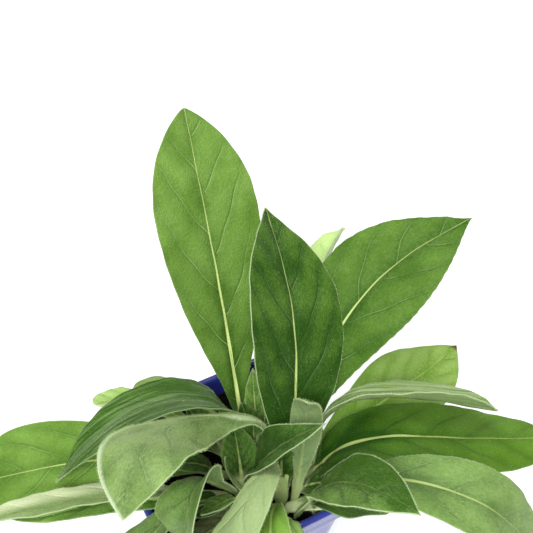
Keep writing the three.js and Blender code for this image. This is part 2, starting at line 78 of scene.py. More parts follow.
# The large leaves have the same midribs and outlines as the solids.
LEAVES = {
    "tall_back_leaf": dict(
        root=(10, 5), heading=78, turn=1, rise=62, droop=46,
        length=161, width=50, inward=1.8, outward=0.8, roll=-19, fold=6,
        tone=0.52, down=0.1, margin=0.1, vein=1, rib=0.95, haze=0.25,
    ),
    "upright_centre_leaf": dict(
        look="deep_leaf", root=(15, -24), heading=47, turn=35, rise=68, droop=25,
        length=137, width=50, inward=1.9, outward=1.1, roll=-32, fold=8,
        tone=0.14, down=0.2, margin=0.8, vein=0.3, rib=0.8, haze=0.15, contrast=1.6, deepen=0.5, stem=0.1,
    ),
    "back_right_leaf": dict(
        look="deep_leaf", root=(23, -14), heading=39, turn=-35, rise=60, droop=4,
        length=157, width=48, inward=2.2, outward=1.3, roll=-4, fold=6,
        tone=0.42, down=0.15, margin=0.25, vein=0.5, rib=0.8, haze=0.2, teeth=0.35,
    ),
    "narrow_back_leaf": dict(
        look="pale_leaf", root=(23, -8), heading=57, turn=-20, rise=41, droop=3, bendAt=0.53,
        length=124, width=22, inward=1.7, outward=0.7, roll=50, twist=-7, fold=33,
        tone=1, down=0.4, margin=0.6, vein=0.4, haze=0.5,
    ),
    "yellowing_right_leaf": dict(
        look="pale_leaf", root=(28, -14), heading=-3, turn=22, rise=46, droop=-8, bendAt=0.33, bendOver=0.9,
        length=104, width=37, inward=1.8, outward=1.1, roll=-11, twist=10, fold=2,
        tone=0.2, down=0.1, margin=0.2, vein=0.5, haze=0, contrast=0.7, yellow=1, brown=1,
    ),
    "edge_on_right_leaf": dict(
        look="hairy_leaf", root=(31, -19), heading=7, turn=-40, rise=85, droop=-12, bendAt=0.39,
        bendOver=0.3,
        length=124, width=27, inward=2.2, outward=0.7, roll=48, twist=-4, fold=6, foldTip=24,
        tone=0.75, down=0.7, margin=0.6, vein=0.1, rib=0.2, haze=0.6, deepen=1.6, streak=0.9,
    ),
    "broad_right_leaf": dict(
        look="deep_leaf", root=(33, -24), heading=-28, turn=10, rise=95, droop=-13, bendAt=0.24,
        bendOver=0.6,
        length=131, width=38, inward=0.8, outward=0.6, roll=14, twist=-10, fold=17, foldTip=-12,
        tone=0.62, down=0.15, margin=0.2, vein=0.12, rib=0.6, haze=0.1, deepen=0.6,
    ),
    "front_right_leaf": dict(
        root=(17, -34), heading=-67, turn=-10, rise=73, droop=10, bendAt=0.71, bendOver=1.1,
        length=103, width=25, inward=2.3, outward=1.3, roll=-7, twist=-1, fold=33, foldTip=-4, petiole=3.2,
        wing=4.2,
        tone=0.02, down=0.5, margin=0.9, vein=0.1, rib=0.15, lean=0.3, deepen=0.1,
    ),
    "low_right_leaf": dict(
        root=(24, -31), heading=-61, turn=28, rise=61, droop=-62, bendAt=0.53, bendOver=0.7,
        length=155, width=29, inward=1.8, outward=0.8, roll=2, twist=-20, fold=8,
        tone=0.35, down=0.3, margin=0.45, vein=0.3, haze=0.35, deepen=0.6, grey=0.15,
    ),
    "under_right_leaf": dict(
        look="deep_leaf", root=(24, -36), heading=-54, turn=15, rise=73, droop=8, bendAt=0.33, bendOver=0.6,
        length=42, width=31, inward=1.7, outward=1.1, roll=25, twist=1, fold=18,
        tone=0.6, down=0.1, margin=0.2, vein=0.3, rib=0.4,
    ),
    "bent_young_leaf": dict(
        look="hairy_leaf", root=(18, -28), heading=-146, turn=27, rise=105, droop=34, bendAt=0.88,
        bendOver=0.4,
        length=71, width=14, inward=1.5, outward=0.7, roll=3, twist=13, fold=-2,
        tone=0.15, down=0.8, margin=0.7, vein=0.1, rib=0.2, haze=0.6, grey=0.15,
    ),
    "dark_centre_leaf": dict(
        look="deep_leaf", root=(4, -12), heading=-64, turn=30, rise=77, droop=32, bendAt=0.75, bendOver=1.4,
        length=76, width=19, inward=0.9, outward=1.2, roll=-9, twist=-14, fold=28, foldTip=26,
        tone=0.12, down=0.3, margin=0.9, vein=0.1, rib=0.2, haze=0.2, contrast=0.7,
    ),
    "arching_left_leaf": dict(
        look="hairy_leaf", root=(9, -4), heading=156, turn=79, rise=104, droop=40, bendAt=0.23,
        bendOver=0.2, nod=-42, nodAt=0.9,
        length=148, width=35, inward=3.2, outward=1, roll=5, twist=-20, fold=-40, foldTip=-3, foldAt=0.59,
        tone=0.42, down=0.8, margin=0.9, vein=0.6, rib=0.1, haze=0.7, contrast=1.4, deepen=0.05, ridge=1,
        drift=1, grey=0.1,
    ),
    "arching_back_left_leaf": dict(
        root=(6, 8), heading=166, turn=20, rise=107, droop=-44, bendAt=0.44, bendOver=1.2,
        length=126, width=29, outward=1.3, roll=-29, twist=10, fold=22, foldTip=7,
        tone=0, down=0.4, margin=0.4, vein=0.1, rib=0.1, haze=0, deepen=0, ridge=0.15, streak=0.35,
    ),
    "far_left_leaf": dict(
        root=(-3, -3), heading=166, turn=-7, rise=42, droop=-13, bendAt=0.49,
        length=115, width=39, inward=1.7, outward=0.5, roll=35, twist=4, fold=8,
        down=0.15, margin=0.3, vein=0.5, rib=0.8, haze=0.15, deepen=0.05,
    ),
    "low_left_leaf": dict(
        look="hairy_leaf", root=(-8, -12), heading=176, rise=42, droop=18, bendAt=0.42, bendOver=0.7,
        length=123, width=23, inward=1.5, outward=1.2, roll=-37, twist=2, fold=10,
        tone=0.7, down=0.7, vein=0.15, rib=0.2, haze=0.8, cream=1, grey=0.3,
    ),
    "thin_left_leaf": dict(
        root=(-12, -15), heading=168, turn=-12, rise=35, droop=-17,
        length=97, width=13, roll=-1, fold=8,
        tone=0.4, down=0.5,
    ),
    "small_back_left_leaf": dict(
        look="pale_leaf", root=(0, 9), heading=128, turn=29, rise=43, droop=9, bendAt=0.49,
        length=68, width=16, inward=1.9, outward=0.5, roll=-19, twist=-1, fold=8,
        down=0.3, vein=0.4, teeth=0.8, yellow=0.3,
    ),
    "rolled_back_left_leaf": dict(
        look="hairy_leaf", root=(7, 13), heading=127, turn=30, rise=66, droop=-6, bendOver=1,
        length=60, width=15, inward=2, outward=0.4, roll=-27, fold=27, foldTip=28,
        tone=0.7, down=0.8, haze=0.7,
    ),
    "hairy_front_leaf": dict(
        look="hairy_leaf", root=(12, -16), heading=-122, turn=-33, rise=105, droop=-43, bendAt=0.41,
        bendOver=1.2,
        length=103, width=25, inward=1.5, outward=0.4, roll=-29, twist=-7, fold=-12, foldTip=-9,
        tone=1, down=0.9, vein=0.1, rib=0.1, haze=0.9, grey=0.7,
    ),
    "folded_front_left_leaf": dict(
        root=(-3, -13), heading=-155, turn=21, rise=65, droop=-85, bendAt=0.68, bendOver=0.4,
        length=90, width=27, inward=2.6, outward=0.5, roll=-42, twist=4, fold=23,
        tone=0.3, down=0.6, margin=0.8, rib=0.3, haze=0.5,
    ),
    "green_front_leaf": dict(
        root=(11, -28), heading=-135, turn=29, rise=64, droop=-73, bendAt=0.58, bendOver=0.9,
        length=77, width=24, inward=2.2, outward=0.7, roll=-33, twist=22, fold=11,
        tone=0.95, down=0.3, rib=0.4, haze=0.2, deepen=0.1,
    ),
    "front_corner_leaf": dict(
        look="pale_leaf", root=(11, -36), heading=-134, turn=36, rise=70, droop=-53, bendAt=0.44,
        bendOver=0.7,
        length=56, width=24, roll=20, twist=10, fold=11,
        down=0.3, margin=0.4, vein=0.3, deepen=0.1,
    ),
    "left_corner_leaf": dict(
        root=(-8, -21), heading=169, turn=50, rise=66, droop=-48, bendAt=0.38,
        length=85, width=36, inward=2.5, outward=0.5, roll=-34, twist=-4, fold=9,
        tone=0.3, down=0.6, vein=0.4, haze=0.5,
    ),
    "small_grey_leaf": dict(
        look="hairy_leaf", root=(1, -18), heading=133, turn=-30, rise=46, droop=77, bendAt=0.46,
        bendOver=0.7,
        length=29, width=6, roll=-46, twist=6, fold=13,
        down=0.8, vein=0.1, haze=0.7,
    ),
    "dark_inner_leaf": dict(
        root=(-3, -20), heading=-156, turn=-9, rise=76, droop=22, bendAt=0.45, bendOver=0.9,
        length=38, width=10, roll=-17, twist=-10, fold=19,
        tone=0.3, down=0.5, margin=0.6,
    ),
    "old_brown_leaf": dict(
        look="old_leaf", root=(0, -24), heading=-163, turn=-6, rise=38, droop=12, bendAt=0.43, bendOver=0.7,
        length=43, width=14, twist=1, fold=2,
        tone=0.4, down=0.4, margin=0.3, vein=0.5,
    ),
    "small_front_leaf": dict(
        look="hairy_leaf", root=(3, -30), heading=80, turn=-6, rise=79, droop=57, bendAt=0.57, bendOver=1.1,
        length=18, width=7, roll=-10, twist=-14, fold=20,
        down=0.9, haze=0.7,
    ),
    "shaded_left_leaf": dict(
        look="deep_leaf", root=(3, 2), heading=145, turn=37, rise=46, droop=-24, bendAt=0.48, bendOver=1,
        length=76, width=22, outward=1, roll=-33, twist=20, fold=-5,
        down=0.4, margin=0.4,
    ),
}
SHOOT_LEAVES = [
    dict(
        root=(15, 1), heading=82, turn=-16, rise=84, droop=49,
        length=47, width=9, outward=1, roll=8, fold=10,
    ),
    dict(root=(18, 4), heading=65, rise=68, droop=84, length=55, width=5, inward=1, outward=0.8, fold=20),
    dict(
        root=(21, 2), heading=77, turn=-6, rise=70, droop=84,
        length=47, width=5, inward=1, outward=0.8, fold=20,
    ),
    dict(root=(22, -2), heading=76, turn=-6, rise=89, droop=85, length=46, width=10, fold=15),
]

# Small dark leaves low in the crown, seen only between the petioles. Each row is root x, root y,
# heading, rise, droop, length and width.
INNER_LEAVES = [
    (-6, -4, 172, 66, 20, 40, 11),
    (9, -7, 70, 86, 70, 36, 15),
    (4, -6, 110, 78, 60, 34, 14),
    (0, -12, 80, 80, 60, 38, 16),
    (14, -12, 60, 84, 60, 34, 14),
    (15, -21, 62, 80, 70, 36, 16),
    (-9, -16, 200, 60, 10, 30, 13),
    (3, -25, 230, 65, 20, 28, 13),
    (20, -19, 50, 78, 50, 34, 15),
    (18, -8, 60, 85, 70, 32, 12),
    (12, -1, 100, 82, 60, 36, 12),
    (-10, 2, 150, 50, 10, 34, 14),
    (0, 3, 120, 65, 30, 36, 12),
    (27, -21, -25, 62, 10, 40, 18),
    (21, -25, -50, 60, 0, 36, 16),
]
INNER_KIND = dict(
    look="deep_leaf", bendAt=0.6, inward=1.5, outward=0.9, fold=14, petiole=1.2, wing=1.6, wave=0.3,
    tone=0.3, down=0.2, margin=0.25, vein=0.1,
)

# A felted leaf base and a small grey leaf at the front of the crown, in rows as above.
FELTED_BASE = (13.0, -30.0, -26, 30, 14, 29, 9)
GREY_LEAF = (12.5, -25.5, 62, 84, 50, 13, 5)
BASE_KIND = dict(
    look="hairy_leaf", bendAt=0.4, inward=0.8, outward=0.5, fold=-8, petiole=2.4, wing=3.0, wave=0.2,
    tone=0.8, down=1.0, margin=0.6, vein=0.0, rib=0.0, haze=0.8,
)
SHOOT_KIND = dict(petiole=1.2, wing=1.2, wave=0.0, tone=0.35, down=0.4, margin=0.6, vein=0.3)

# The dark and the light green of each look, and how strongly its short down shines.
LEAF_GREENS = {
    "leaf": ((0.03, 0.1, 0.003), (0.2, 0.38, 0.05), 0.04),
    # deep_leaf is a darker green, partly the own colour of some leaves and partly painted shade for leaves
    # that lie in the crown's shadow.
    "deep_leaf": ((0.012, 0.065, 0.001), (0.11, 0.25, 0.015), 0.04),
    "hairy_leaf": ((0.06, 0.14, 0.015), (0.26, 0.41, 0.09), 0.15),
    "pale_leaf": ((0.18, 0.36, 0.04), (0.6, 0.82, 0.3), 0.04),
    "old_leaf": ((0.05, 0.06, 0.02), (0.19, 0.2, 0.1), 0.15),
}

YELLOW_SPECKS = (0.48, 0.55, 0.12)
NET_GREEN = (0.3, 0.48, 0.14)
SIDE_VEIN_GREEN = (0.36, 0.55, 0.16)
MIDRIB_GREEN = (0.78, 0.92, 0.32)
WHITE_DOWN = (0.37, 0.49, 0.24)
DARK_STREAK = (0.08, 0.13, 0.05)
LIGHT_STREAK = (0.42, 0.56, 0.3)
GREY_FELT = (0.4, 0.51, 0.27)
CREAM_FELT = (0.66, 0.74, 0.44)
# Pale fuzz on a leaf's ridge, partly a painted sheen.
RIDGE_FUZZ_AND_SHEEN = (0.62, 0.72, 0.5)
LOWER_FACE = (0.3, 0.42, 0.2)
PETIOLE_GREEN = (0.5, 0.6, 0.26)
MARGIN_WHITE = (0.55, 0.68, 0.4)
DEAD_BROWN = (0.13, 0.06, 0.02)
HAIR_WHITE = (0.58, 0.72, 0.33, 1.0)
LEAF_SHINE = (0.85, 1.0, 0.5, 1.0)
DOWN_SHINE = (0.85, 1.0, 0.45, 1.0)
PLASTIC_DARK = (0.024, 0.034, 0.3)
PLASTIC_LIGHT = (0.03, 0.044, 0.35)
PLASTIC_DUST = (0.25, 0.25, 0.38)
SOIL_DARK = (0.0015, 0.0012, 0.001)
SOIL_LIGHT = (0.014, 0.01, 0.007)

# What the materials of leaves read at each point. NOTES change over a leaf; the others are its own.
NOTES = ("across", "along", "half", "phase", "lower", "share")
LEAF_VALUES = {
    "blade": ("across", "along", "half"),
    "leafy": ("lower", "random", "share"),
    "veins": ("phase", "vein_gap", "vein"),
    "finish": ("tone", "stem", "margin"),
    "marks": ("yellow", "brown", "streak"),
    "shades": ("rib", "haze", "contrast"),
    "slopes": ("lean", "deepen", "cream"),
    "crests": ("ridge", "grey", "drift"),
}


def add_camera():
    azimuth = math.radians(CAMERA_AZIMUTH)
    elevation = math.radians(CAMERA_ELEVATION)
    back = Vector((
        math.sin(azimuth) * math.cos(elevation),
        -math.cos(azimuth) * math.cos(elevation),
        math.sin(elevation),
    ))
    data = bpy.data.cameras.new("camera")
    data.lens = CAMERA_LENS
    data.sensor_width = CAMERA_SENSOR
    data.clip_start = 10 * MM
    camera = bpy.data.objects.new("camera", data)
    camera.location = CAMERA_TARGET + back * CAMERA_DISTANCE
    camera.rotation_euler = back.to_track_quat("Z", "Y").to_euler()
    bpy.context.scene.collection.objects.link(camera)
    bpy.context.scene.camera = camera


def smoothstep(x):
    t = np.clip(x, 0.0, 1.0)
    return t * t * (3 - 2 * t)


# Shares of a leaf's length over which its nod, roll and other changes come in.
NOD_OVER = 0.4
ROLL_OVER = 0.25
WING_OVER = 0.15
TIP_OVER = 0.2
RIB_OVER = 0.45
FOLD_OVER = 0.5
DRIFT_START = 0.3
DRIFT_OVER = 0.32
SPINE_STEPS = 1200


def directions(leaf, s):
    """Where the midrib points at the shares s of its length, and the level way across it."""
    share = smoothstep((s - leaf["bendAt"] + leaf["bendOver"] / 2) / leaf["bendOver"])
    slope = leaf["rise"] + (leaf["droop"] - leaf["rise"]) * share
    if "nod" in leaf:
        nodding = smoothstep((s - leaf["nodAt"] + NOD_OVER / 2) / NOD_OVER)
        slope = slope + (leaf["nod"] - leaf["droop"]) * nodding
    slope = np.radians(slope)
    heading = np.radians(leaf["heading"] + leaf["turn"] * smoothstep(s))
    along = np.stack([np.cos(slope) * np.cos(heading), np.cos(slope) * np.sin(heading), np.sin(slope)], -1)
    level = np.stack([np.sin(heading), -np.cos(heading), 0 * heading], -1)
    return along, level


def frames(leaf, s):
    """The ways across and out of the blade at the shares s."""
    along, level = directions(leaf, s)
    face = np.cross(level, along)
    roll = np.radians(leaf["roll"] * smoothstep(s / ROLL_OVER) + leaf["twist"] * s)[..., None]
    side = level * np.cos(roll) + face * np.sin(roll)
    up = face * np.cos(roll) - level * np.sin(roll)
    return side, up


def spine(leaf, s):
    """The midrib's points at the shares s of its length."""
    fine = np.linspace(0, 1, SPINE_STEPS + 1)
    along, _ = directions(leaf, (fine[1:] + fine[:-1]) / 2)
    path = np.vstack([np.zeros(3), np.cumsum(along, 0)]) * leaf["length"] / SPINE_STEPS
    points = np.stack([np.interp(s, fine, path[:, k]) for k in range(3)], -1)
    return points + np.array([*leaf["root"], STUB_TOP])


def half_width(leaf, s):
    """Half the width of the blade or petiole at the shares s."""
    widest = leaf["inward"] / (leaf["inward"] + leaf["outward"])
    blade = leaf["width"] / 2 * (s / widest) ** leaf["inward"]
    blade = blade * ((1 - s) / (1 - widest)) ** leaf["outward"]
    petiole = leaf["petiole"] + (leaf["wing"] - leaf["petiole"]) * smoothstep(s / WING_OVER)
    return np.maximum(blade, petiole * np.minimum(1, (1 - s) / TIP_OVER))


# A side vein falls back from the midrib, more so further out, and wanders on its way.
VEIN_SLANT = 1.15
VEIN_CURVE = 0.8
VEIN_WANDER = 2.4
WANDER_LENGTH = 13
WOBBLE_LENGTH = 4.7
RIGHT_HALF_SHIFT = 0.43


def vein_phase(leaf, across, along):
    """Rises by 1 from each side vein to the next. Veins slant from the midrib, then run along."""
    out = np.abs(across)
    half = max(leaf["width"] / 2, 1)
    right = np.where(across > 0, 1.0, 0.0)
    start = 20 * leaf["random"] + 2.1 * right
    wander = VEIN_WANDER * np.sin(along / WANDER_LENGTH + start)
    wander = wander + np.sin(along / WOBBLE_LENGTH + 2.3 * start + out / 3)
    lean = VEIN_SLANT * out + VEIN_CURVE * out * out / half - wander * (0.3 + 0.7 * out / half)
    return (along - lean) / leaf["vein_gap"] + RIGHT_HALF_SHIFT * right + 7 * leaf["random"]


# Relief of a blade, and how far its upper face lies over the midrib's line.
PILLOW = 0.42
DIMPLE = 0.1
RIPPLE = 0.35
GROOVE = 0.35
GROOVE_WIDTH = 1.2
FACE_LIFT = 0.35
TOOTH_GAP = 5.3


def relief(leaf, u, across, along, phase, share):
    """How far the blade stands out of its plain form."""
    pucker = np.sin(np.pi * phase) ** 2 * share * (1 - u**6)
    groove = GROOVE * np.exp(-((across / GROOVE_WIDTH) ** 2)) * share
    start = 31 * leaf["random"]
    dimple = np.sin(along / 5.1 + start) * np.sin(across / 3.7 + 0.6 * along / 5 + start)
    ripple = u**8 * np.sin(along / 2.3 + 5 * leaf["random"]) * np.sin(along / 7.1)
    return PILLOW * pucker + DIMPLE * dimple * (1 - u**4) * share + RIPPLE * ripple * share - groove


def fold_angle(leaf, s):
    """How far the halves fold up at the shares s."""
    tip_fold = leaf.get("foldTip", leaf["fold"])
    share = s
    if "foldAt" in leaf:
        share = smoothstep((s - leaf["foldAt"] + FOLD_OVER / 2) / FOLD_OVER)
    return np.radians(leaf["fold"] + (tip_fold - leaf["fold"]) * share)


def surface(leaf, s, u, lower):
    """Points of one face for the shares s along and u across, and notes for the looks."""
    half = half_width(leaf, s)
    share = np.clip((half - leaf["petiole"]) / 4, 0, 1)
    fold = fold_angle(leaf, s)
    slack = 1 / np.cos(fold * share)
    rib = PETIOLE_THICKNESS + (MIDRIB_THICKNESS - PETIOLE_THICKNESS) * smoothstep(s / RIB_OVER)
    rib_share = (1 - np.abs(u)) ** (0.4 + 1.6 * share)
    thickness = (MARGIN_THICKNESS + (rib - MARGIN_THICKNESS) * rib_share) * slack
    above = thickness / 2 + (FACE_LIFT - thickness / 2) * share
    wave = leaf["wave"] * u * u * np.sin(leaf["waves"] * np.pi * s + 1.7 * u) * share
    along = s * leaf["length"] + 0 * u
    tooth = np.abs(((along / TOOTH_GAP + leaf["random"]) % 1) - 0.5) - 0.25
    across = u * (half + 2 * leaf["teeth"] * tooth * share * u**6)
    phase = vein_phase(leaf, across, along)
    raised = relief(leaf, u, across, along, phase, share)
    lift = half * np.tan(fold) * share * np.abs(u) + wave + raised + above
    lift = lift - thickness if lower else lift
    side, up = frames(leaf, s)
    points = spine(leaf, s) + side * across[..., None] + up * lift[..., None]
    return points, across, along, half + 0 * u, phase


# A blade's rows and columns, which bunch at the margins.
ROW_LENGTH = 1.1
ROW_LIMITS = (26, 150)
COLUMN_WIDTH = 2.3
COLUMN_LIMITS = (4, 21)
COLUMN_BUNCH = math.pi / 2 * 0.85
STUB_GAP = 1.5


def leaf_grid(leaf):
    """The shares along and across of a leaf's rows and columns."""
    rows = int(np.clip(leaf["length"] / ROW_LENGTH, *ROW_LIMITS))
    columns = 2 * int(np.clip(leaf["width"] / COLUMN_WIDTH, *COLUMN_LIMITS)) + 1
    s = np.linspace(0, 1, rows + 1)[:-1]
    s = np.append(s, [1 - 0.5 / rows, 1 - 0.2 / rows])
    u = np.sin(np.linspace(-1, 1, columns) * COLUMN_BUNCH) / math.sin(COLUMN_BUNCH)
    return s, u


def tube_faces(count, width):
    """Faces of a closed tube: count rings of width points, then the middles of its ends."""
    here = np.arange(width)
    following = (here + 1) % width
    row = (np.arange(count - 1) * width)[:, None]
    quads = np.stack([row + here, row + following, row + following + width, row + here + width], -1)
    last = (count - 1) * width
    bottom = 0 * here + count * width
    fans = [np.stack([bottom, following, here], -1)]
    fans.append(np.stack([bottom + 1, last + here, last + following], -1))
    return quads.reshape(-1, 4), np.vstack(fans)


def joined(parts):
    """Several meshes as one: all points, and all quads and triangles, counted on from part to part."""
    points, quads, fans = [], [], []
    start = 0
    for place, four, three in parts:
        points.append(place)
        quads.append(four + start)
        fans.append(three + start)
        start += len(place)
    return np.vstack(points), [np.vstack(quads), np.vstack(fans)]


def stub_rings(leaf, across):
    """The two rings of the petiole that stand upright in the mix."""
    heading = math.radians(leaf["heading"])
    level = np.array([math.sin(heading), -math.cos(heading), 0])
    back = np.array([-math.cos(heading), -math.sin(heading), 0])
    depth = np.repeat([1.0, -1.0], len(across) // 2)
    bulge = PETIOLE_THICKNESS / 2 * np.sqrt(np.clip(1 - (across / leaf["petiole"]) ** 2, 0.02, 1))
    upright = np.array([*leaf["root"], 0]) + level * across[:, None] + back * (depth * bulge)[:, None]
    return np.stack([upright + [0, 0, STUB_BOTTOM], upright + [0, 0, STUB_TOP - STUB_GAP]])


def leaf_mesh(leaf):
    """Closed blade and petiole: points, quads, triangles, and the NOTES at each point."""
    s, u = leaf_grid(leaf)
    s_grid, u_grid = np.meshgrid(s, u, indexing="ij")
    points, notes = [], []
    for lower in (False, True):
        place, across, along, half, phase = surface(leaf, s_grid, u_grid, lower)
        flag = np.full_like(across, lower)
        note = np.stack([across, along, half, phase, flag, s_grid], -1)
        points.append(place[:, ::-1] if lower else place)
        notes.append(note[:, ::-1] if lower else note)
    rings = np.concatenate(points, 1)
    notes = np.concatenate(notes, 1)
    rings = np.concatenate([stub_rings(leaf, notes[0, :, 0]), rings])
    notes = np.concatenate([notes[:1], notes[:1], notes])

    ends = [rings[0].mean(0), spine(leaf, np.array([1.0]))[0]]
    points = np.vstack([rings.reshape(-1, 3), ends])
    notes = np.vstack([notes.reshape(-1, len(NOTES)), notes[0].mean(0), notes[-1].mean(0)])
    quads, fans = tube_faces(*rings.shape[:2])
    return points, quads, fans, notes


def mesh_object(name, points, face_sets, material, smooth=True):
    """An object from points and arrays of faces, each array with one number of corners."""
    face_sets = [np.asarray(faces, np.int32) for faces in face_sets]
    corners = np.concatenate([faces.ravel() for faces in face_sets])
    sizes = np.concatenate([np.full(len(faces), faces.shape[1], np.int32) for faces in face_sets])
    starts = np.concatenate([[0], np.cumsum(sizes)[:-1]])
    mesh = bpy.data.meshes.new(name)
    mesh.vertices.add(len(points))
    mesh.vertices.foreach_set("co", (np.asarray(points) * MM).astype(np.float32).ravel())
    mesh.loops.add(len(corners))
    mesh.loops.foreach_set("vertex_index", corners)
    mesh.polygons.add(len(sizes))
    mesh.polygons.foreach_set("loop_start", starts.astype(np.int32))
    mesh.update(calc_edges=True)
    mesh.validate()
    mesh.materials.append(material)
    mesh.polygons.foreach_set("use_smooth", [smooth] * len(mesh.polygons))
    thing = bpy.data.objects.new(name, mesh)
    bpy.context.scene.collection.objects.link(thing)
    return thing


def put_attribute(thing, name, values):
    attribute = thing.data.attributes.new(name, "FLOAT_VECTOR", "POINT")
    attribute.data.foreach_set("vector", np.asarray(values, np.float32).ravel())


def dress(thing, node=None):
    """Attaches a piece to the root body, and hides the solid that it stands for, if any."""
    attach(thing, "root")
    if node:
        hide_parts(node)


class Graph:
    """Short calls for the nodes of one material."""

    def __init__(self, name):
        self.material = bpy.data.materials.new(name)
        self.material.use_nodes = True
        self.tree = self.material.node_tree
        self.tree.nodes.clear()
        self.shader = self.tree.nodes.new("ShaderNodeBsdfPrincipled")
        out = self.tree.nodes.new("ShaderNodeOutputMaterial")
        self.tree.links.new(self.shader.outputs[0], out.inputs[0])

    def put(self, socket, value):
        if isinstance(value, bpy.types.NodeSocket):
            self.tree.links.new(value, socket)
        elif value is not None:
            socket.default_value = value

    def math(self, kind, a, b=None, c=None, clamp=False):
        node = self.tree.nodes.new("ShaderNodeMath")
        node.operation = kind
        node.use_clamp = clamp
        for socket, value in zip(node.inputs, (a, b, c)):
            self.put(socket, value)
        return node.outputs[0]

    def times(self, *values):
        product = values[0]
        for value in values[1:]:
            product = self.math("MULTIPLY", product, value)
        return product

    def ramp(self, value, low, high, to_low=0.0, to_high=1.0):
        node = self.tree.nodes.new("ShaderNodeMapRange")
        node.interpolation_type = "SMOOTHSTEP"
        for socket, number in zip(node.inputs, (value, low, high, to_low, to_high)):
            self.put(socket, number)
        return node.outputs[0]

    def mix(self, share, a, b, kind="MIX"):
        node = self.tree.nodes.new("ShaderNodeMix")
        node.data_type = "RGBA"
        node.blend_type = kind
        self.put(node.inputs[0], share)
        for socket, value in ((node.inputs[6], a), (node.inputs[7], b)):
            self.put(socket, (*value, 1.0) if isinstance(value, tuple) else value)
        return node.outputs[2]

    def place(self):
        return self.tree.nodes.new("ShaderNodeTexCoord").outputs["Object"]

    def attribute(self, name):
        node = self.tree.nodes.new("ShaderNodeAttribute")
        node.attribute_name = name
        split = self.tree.nodes.new("ShaderNodeSeparateXYZ")
        self.tree.links.new(node.outputs["Vector"], split.inputs[0])
        return split.outputs

    def combine(self, x, y, z):
        node = self.tree.nodes.new("ShaderNodeCombineXYZ")
        for socket, value in zip(node.inputs, (x, y, z)):
            self.put(socket, value)
        return node.outputs[0]

    def noise(self, vector, scale, detail=2.0, rough=0.5):
        node = self.tree.nodes.new("ShaderNodeTexNoise")
        for name, value in (("Vector", vector), ("Scale", scale), ("Detail", detail), ("Roughness", rough)):
            self.put(node.inputs[name], value)
        return node.outputs[0]

    def cell_edges(self, vector, scale):
        node = self.tree.nodes.new("ShaderNodeTexVoronoi")
        node.feature = "DISTANCE_TO_EDGE"
        self.put(node.inputs["Vector"], vector)
        self.put(node.inputs["Scale"], scale)
        return node.outputs["Distance"]

    def bump(self, height, distance, strength=1.0):
        node = self.tree.nodes.new("ShaderNodeBump")
        self.put(node.inputs["Height"], height)
        node.inputs["Distance"].default_value = distance
        node.inputs["Strength"].default_value = strength
        self.tree.links.new(node.outputs[0], self.shader.inputs["Normal"])

    def set(self, **values):
        for name, value in values.items():
            self.put(self.shader.inputs[name.replace("_", " ")], value)


def leaf_inputs(g):
    """The LEAF_VALUES as sockets, by name, and the patterns that all parts of the look use."""
    at = SimpleNamespace()
    for attribute, keys in LEAF_VALUES.items():
        for key, socket in zip(keys, g.attribute(attribute)):
            setattr(at, key, socket)
    at.out = g.math("ABSOLUTE", at.across)
    at.out_share = g.math("DIVIDE", at.out, at.half)
    at.way = g.math("DIVIDE", at.across, g.math("MAXIMUM", at.half, 1.0))
    at.spot = g.combine(at.across, at.along, g.times(at.random, 90.0))
    at.patches = g.noise(at.spot, 0.07, 3)
    at.mottle = g.noise(at.spot, 1.1, 4, 0.7)
    start = g.times(at.random, 50.0)
    at.stroke = g.noise(g.combine(g.times(at.across, 1.5), g.times(at.along, 0.5), start), 1.0, 4, 0.7)
    at.line = g.noise(g.combine(g.times(at.across, 0.65), g.times(at.along, 0.02), start), 1.0, 2, 0.6)
    return at


def add_veins(g, at):
    """How much of a side vein, the net, the midrib, its groove and the margin is at each point."""
    # Side veins lie where the phase is a whole number.
    from_middle = g.math("ABSOLUTE", g.math("SUBTRACT", g.math("FRACT", at.phase), 0.5))
    at.near = g.math("SUBTRACT", 0.5, from_middle)
    away = g.times(at.near, at.vein_gap, 0.5)
    fade = g.times(g.ramp(at.out_share, 0.6, 0.9, 1.0, 0.05), g.ramp(at.share, 0.1, 0.25))
    fade = g.times(fade, g.ramp(at.patches, 0.35, 0.6, 0.25, 1.0))
    at.side_vein = g.times(g.ramp(away, 0.06, 0.26, 1.0, 0.0), fade)
    at.vein_dip = g.times(g.ramp(away, 0.0, 1.3, 1.0, 0.0), fade)
    at.net = g.times(g.ramp(g.cell_edges(at.spot, 0.5), 0.0, 0.15, 1.0, 0.0), g.ramp(at.share, 0.1, 0.3))
    beside_rib = g.math("SUBTRACT", at.out, g.ramp(at.share, 0.0, 0.85, 0.95, 0.14))
    at.midrib = g.ramp(beside_rib, -0.15, 0.18, 1.0, 0.0)
    at.groove = g.times(g.ramp(beside_rib, 0.0, 4.5, 1.0, 0.0), g.ramp(at.share, 0.1, 0.9, 1.0, 0.35))
    at.edge = g.ramp(g.math("SUBTRACT", at.half, at.out), 0.05, 0.42, 1.0, 0.0)


